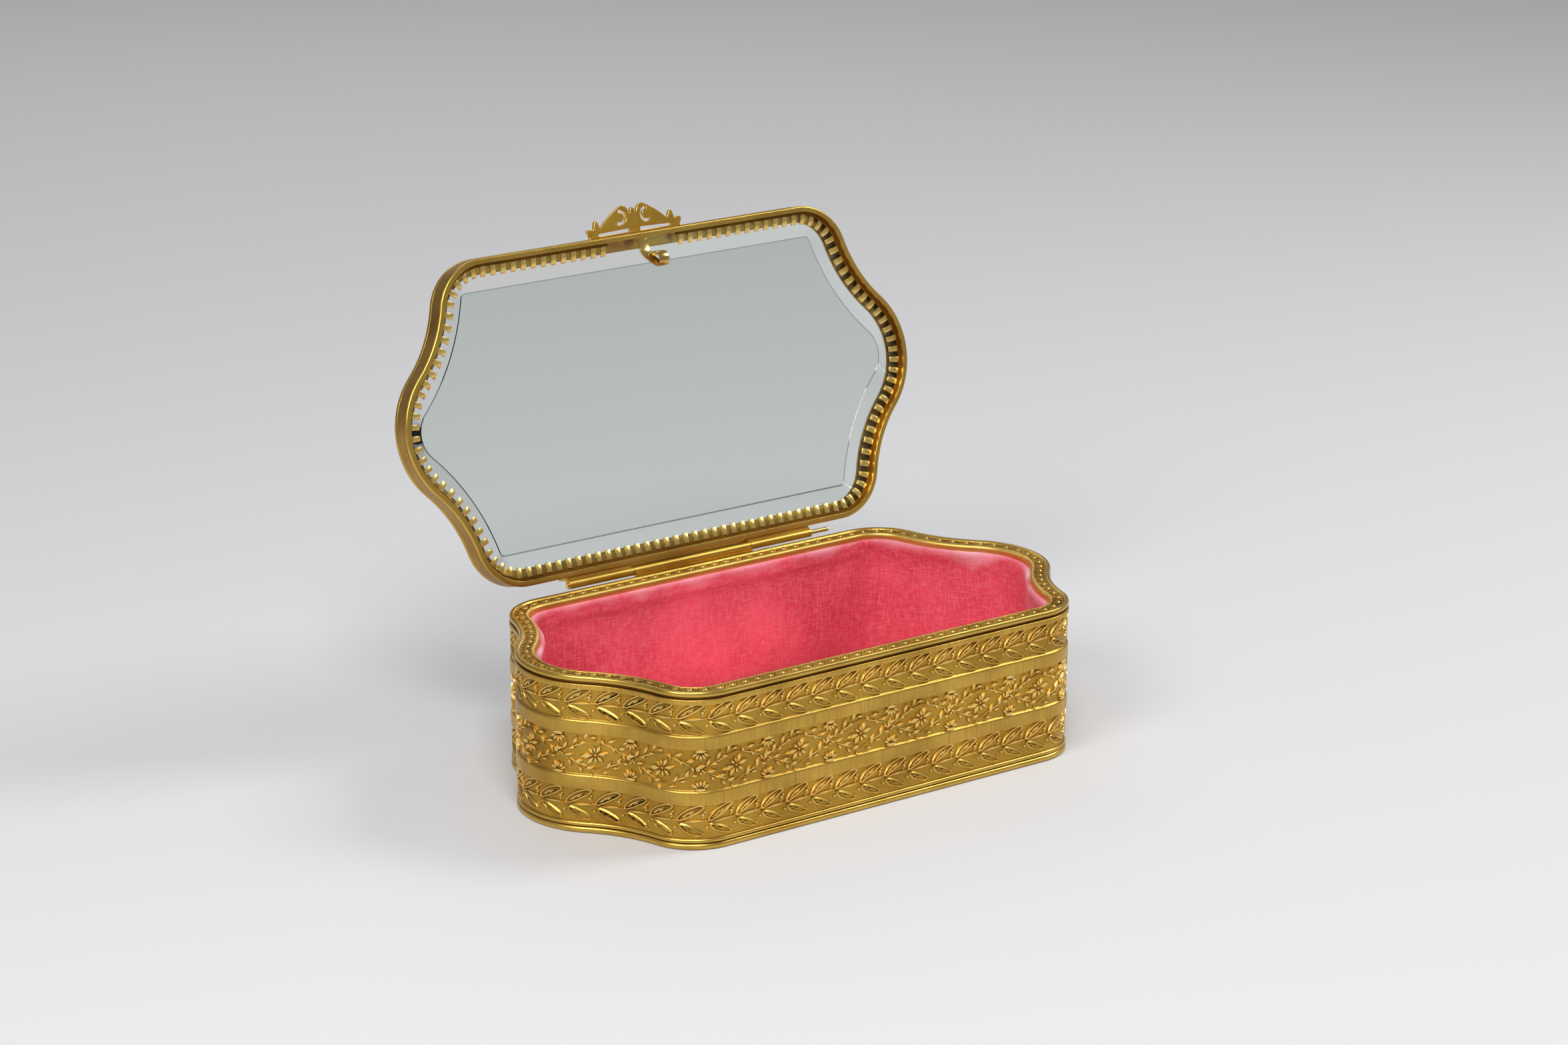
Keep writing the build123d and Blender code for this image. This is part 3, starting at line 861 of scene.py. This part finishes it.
lid_bezel = opened(moulding("lid_flange", [
    (-3.6, band_top, 0), (-0.2, band_top, 0.1), (0, 46.7, 0.4), (-0.2, 47.35, 0.35), (-1.1, 47.35, 0.3),
    (-1.3, bezel_top, 0.1), (-3.6, bezel_top, 0),
]))
dress(lid_bezel, bright_gilding)
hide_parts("lid_bezel")
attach(lid_bezel, "lid")

bezel_ovals = opened(guilloche("lid_ovals", 2.2, ovals, -2.45, bezel_top))
dress(bezel_ovals, flange_gilding)
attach(bezel_ovals, "lid")

bezel_lip = opened(moulding("lid_flange_lip", [
    (-4.5, band_top, 0.1), (-3.6, band_top, 0), (-3.6, 47.2, 0.25), (-4.5, 47.2, 0.4),
]))
dress(bezel_lip, bright_gilding)
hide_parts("bezel_lip")
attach(bezel_lip, "lid")

# Glass: a 3.5 mm plate ground to the plan and laid in the band.
# Its wide polished bevel meets its flat in a thin ground line.

glass_foot = 43.65
glass_shoulder = 44.95
glass_line = 47.0
glass_top = 47.15
flat_corner = 1.2 * mm
flat_nose = 8.0 * mm
flat_depth = 34.0 * mm
flat_waist = (flat_depth - flat_corner * corner_reach.y - flat_nose * nose_reach.y) / waist_reach.y
flat_bends = flat_corner * corner_reach + flat_waist * waist_reach + flat_nose * nose_reach
flat_straight = 73.0 * mm - flat_bends.x
line_width = 0.35 * mm
loops = [
    plan("glass_foot", -1.6, glass_foot),
    plan("glass_shoulder", -1.6, glass_shoulder),
    outline(
        "glass_line", glass_line * mm, flat_depth + line_width, flat_straight,
        flat_corner + line_width, flat_waist - line_width, flat_nose + line_width,
    ),
    outline("glass_flat", glass_top * mm, flat_depth, flat_straight, flat_corner, flat_waist, flat_nose),
]
bpy.ops.object.select_all(action="DESELECT")
for loop in loops:
    loop.select_set(True)
bpy.context.view_layer.objects.active = loops[0]
bpy.ops.object.convert(target="MESH")
bpy.ops.object.join()
glass = bpy.context.object
glass.name = "bevelled_glass"
bpy.ops.object.mode_set(mode="EDIT")
for low, high in (
    (glass_foot, glass_shoulder), (glass_shoulder, glass_line), (glass_line, glass_top),
):
    pick(glass, lambda at: low - 0.05 < at.z < high + 0.05)
    bpy.ops.mesh.bridge_edge_loops()
for level in (glass_foot, glass_top):
    pick(glass, lambda at: abs(at.z - level) < 0.01)
    bpy.ops.mesh.edge_face_add()
bpy.ops.mesh.select_all(action="SELECT")
bpy.ops.mesh.normals_make_consistent(inside=False)
bpy.ops.object.mode_set(mode="OBJECT")
for face in glass.data.polygons:
    if glass_foot + 0.05 < face.center.z / mm < glass_top - 0.05:
        face.material_index = 1 if face.center.z < glass_line * mm else 2
opened(glass)
bpy.ops.object.shade_smooth_by_angle(angle=radians(3))


def plate_glass(name, tint):
    """Plate glass, ground and polished: clear, with sharp reflections and a few dull specks of dust.

    Iron tints it: faintly in the flat, hardly in the bevel, and grey green in the ground line."""
    speck_gap = 0.7 * mm
    made, tree = material(name)
    where = add(tree, "ShaderNodeTexCoord").outputs["Object"]
    specks = add(tree, "ShaderNodeTexNoise", {"Vector": where}, Scale=1 / speck_gap, Detail=0.0)
    dust = add(
        tree, "ShaderNodeMapRange", {"Value": specks.outputs["Fac"]},
        From_Min=0.8, From_Max=0.86, To_Min=0.0, To_Max=0.25,
    )
    clear_glass = add(
        tree, "ShaderNodeBsdfPrincipled", {"Roughness": dust.outputs[0]},
        Base_Color=linear(tint), IOR=1.52, Transmission_Weight=1.0,
    )
    add(tree, "ShaderNodeOutputMaterial", {"Surface": clear_glass.outputs[0]})
    return made


for name, tint in (
    ("plate_glass_flat", "#E4EBE6"), ("plate_glass_bevel", "#FAFDFB"), ("plate_glass_line", "#8FA29A"),
):
    glass.data.materials.append(plate_glass(name, tint))
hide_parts("lid_glass")
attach(glass, "lid")

# Gallery: a strip of gilt brass soldered inside the band, cut into claws that are bent over the
# bevel of the glass and hold it. It is open in the middle of the front, where the catch stands.

claws = 132
catch_gap = 9.5
bpy.ops.object.select_all(action="DESELECT")
bpy.ops.mesh.primitive_cube_add(size=1 * mm, location=(0, 1.15 * mm, 0.2 * mm))
claw = bpy.context.object
bpy.ops.object.mode_set(mode="EDIT")
bpy.ops.transform.resize(value=(1.5, 2.9, 0.4))
shape = bmesh.from_edit_mesh(claw.data)
for line in shape.edges:
    at_tip = all(abs(end.co.x) > 0.7 * mm and end.co.y > 2 * mm for end in line.verts)
    line.select_set(at_tip and abs(line.verts[0].co.z - line.verts[1].co.z) > 0.1 * mm)
bmesh.update_edit_mesh(claw.data)
bpy.ops.mesh.bevel(offset=0.68 * mm, segments=4)
for cut in (0.5, 1.2):
    bpy.ops.mesh.select_all(action="SELECT")
    bpy.ops.mesh.bisect(plane_co=(0, cut * mm, 0), plane_no=(0, 1, 0))
for cut, lift in ((0.3, 0.2), (1.0, 0.25), (1.6, 0.1)):
    pick(claw, lambda at: at.y > cut)
    bpy.ops.transform.translate(value=(0, 0, lift * mm))
bpy.ops.object.mode_set(mode="OBJECT")
ease = claw.modifiers.new("ease", "BEVEL")
ease.width = 0.08 * mm
ease.segments = 2
ease.angle_limit = radians(35)
bpy.ops.object.modifier_apply(modifier=ease.name)
bpy.ops.object.select_all(action="DESELECT")
bpy.ops.mesh.primitive_cube_add(size=1 * mm, location=(0, -0.65 * mm, 0.2 * mm), scale=(3.15, 1.3, 0.4))
web = bpy.context.object
claw.data.materials.append(ridge_highlight_gilding)
# The web between the claws is in the dark gilding: painted shade.
web.data.materials.append(shade_and_dust_gilding)
unit = joined("claw_strip", [claw, web])
gallery = repeated("claw_strip", unit, claws, -2.4, band_foot, upright=False)
bpy.ops.object.mode_set(mode="EDIT")
pick(gallery, lambda at: abs(at.x) < catch_gap and at.y < 0)
bpy.ops.mesh.select_linked()
bpy.ops.mesh.delete(type="VERT")
bpy.ops.object.mode_set(mode="OBJECT")
opened(gallery)
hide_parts("claw_gallery")
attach(gallery, "lid")

# Thumbpiece: sawn from gilt brass plate, pierced and chased, and soldered to the band.
# It is two leafy scrolls with buds at their ends, and its edges are rubbed bright.


def curved(start, middle, end, steps=8):
    """Points from start to end, by way of the middle, without the end itself."""
    start, middle, end = Vector(start), Vector(middle), Vector(end)
    bow = 2 * middle - (start + end) / 2
    shares = [step / steps for step in range(steps)]
    return [start.lerp(bow, share).lerp(bow.lerp(end, share), share) for share in shares]


right_half = [
    *curved((14.6, 0), (14.3, 0.5), (14.5, 0.9)), *curved((14.5, 0.9), (14.8, 2.5), (13.1, 2.4)),
    *curved((13.1, 2.4), (12.8, 2.5), (12.7, 2.9)), *curved((12.7, 2.9), (11.9, 4.7), (10.9, 3.2)),
    *curved((10.9, 3.2), (10.6, 2.8), (10.2, 3.0)), *curved((10.2, 3.0), (6.9, 5.7), (3.4, 7.7)),
    *curved((3.4, 7.7), (1.9, 7.1), (1.3, 5.7)), Vector((1.3, 5.7)),
    *curved((0.75, 5.5), (0.6, 6.3), (0, 6.9)),
]
left_half = [Vector((-point.x, point.y)) for point in reversed(right_half)]
slot_right = [
    Vector(point) for point in ((1.7, 0.5), (11.3, 0.5), (11.6, 0.75), (11.4, 1.15), (1.7, 1.45))
]
eye_right = [
    Vector((4.2 + radius * cos(radians(turn)), 4.6 + radius * sin(radians(turn))))
    for radius, turns in ((2.0, range(80, 306, 15)), (1.3, range(305, 79, -15))) for turn in turns
]
rings = [right_half + [Vector((0, 6.9))] + left_half, slot_right, eye_right]
rings += [[Vector((-point.x, point.y)) for point in ring] for ring in (slot_right, eye_right)]
data = bpy.data.curves.new("scroll_plate", "CURVE")
data.dimensions = "2D"
data.fill_mode = "BOTH"
plate_middle = 45.5 * mm
plate_edge = 0.12 * mm
data.extrude = 0.38 * mm
data.bevel_depth = plate_edge
data.bevel_resolution = 2
data.offset = -plate_edge
for ring in rings:
    spline = data.splines.new("POLY")
    spline.points.add(len(ring) - 1)
    spline.use_cyclic_u = True
    for spot, point in zip(spline.points, ring):
        spot.co = (point.x * mm, -(band_foot + point.y) * mm, 0, 1)
plate = bpy.data.objects.new("scroll_plate", data)
bpy.context.collection.objects.link(plate)
only(plate)
bpy.ops.object.convert(target="MESH")
plate = bpy.context.object
plate.location.z = plate_middle
bpy.ops.object.transform_apply(location=True, rotation=True, scale=True)
bpy.ops.object.shade_smooth_by_angle(angle=radians(40))
dress(plate, ridge_highlight_gilding)
plate.data.materials.append(matted_gilding)
for face in plate.data.polygons:
    face.material_index = int(abs(face.normal.z) > 0.95)
opened(plate)
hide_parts("thumbpiece")
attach(plate, "lid")

# Catch: one strip of spring brass, bent to an open loop and polished.
# Its root is soldered inside the band, in the gap of the gallery, and the loop springs in past
# the rim's lip.

data = bpy.data.curves.new("looped_catch", "CURVE")
data.dimensions = "3D"
data.resolution_u = 8
spline = data.splines.new("NURBS")
strip_width = 3.0
bend_points = (
    (-41.0, 42.3), (-39.0, 42.2), (-37.3, 41.8), (-36.0, 40.3), (-34.8, 38.0), (-33.7, 35.8), (-33.3, 33.9),
    (-34.8, 33.1), (-36.7, 33.5), (-37.2, 35.2), (-37.0, 37.0), (-36.9, 38.2), (-36.1, 38.5),
)
spline.points.add(len(bend_points) - 1)
for spot, (y, z) in zip(spline.points, bend_points):
    spot.co = (-strip_width / 2 * mm, y * mm, z * mm, 1)
spline.order_u = 4
spline.use_endpoint_u = True
catch = bpy.data.objects.new("looped_catch", data)
bpy.context.collection.objects.link(catch)
only(catch)
bpy.ops.object.convert(target="MESH")
catch = bpy.context.object
bpy.ops.object.mode_set(mode="EDIT")
bpy.ops.mesh.select_all(action="SELECT")
bpy.ops.mesh.extrude_region_move(TRANSFORM_OT_translate={"value": (strip_width * mm, 0, 0)})
bpy.ops.object.mode_set(mode="OBJECT")
sheet = catch.modifiers.new("sheet", "SOLIDIFY")
sheet.thickness = 0.5 * mm
sheet.offset = 0
ease = catch.modifiers.new("ease", "BEVEL")
ease.width = 0.12 * mm
ease.segments = 2
ease.angle_limit = radians(50)
for modifier in (sheet.name, ease.name):
    bpy.ops.object.modifier_apply(modifier=modifier)
bpy.ops.object.mode_set(mode="EDIT")
bpy.ops.mesh.select_all(action="SELECT")
bpy.ops.mesh.normals_make_consistent(inside=False)
bpy.ops.object.mode_set(mode="OBJECT")
bpy.ops.object.shade_smooth_by_angle(angle=radians(40))
opened(catch)
dress(catch, polished_brass)
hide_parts("catch_spring")
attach(catch, "catch")
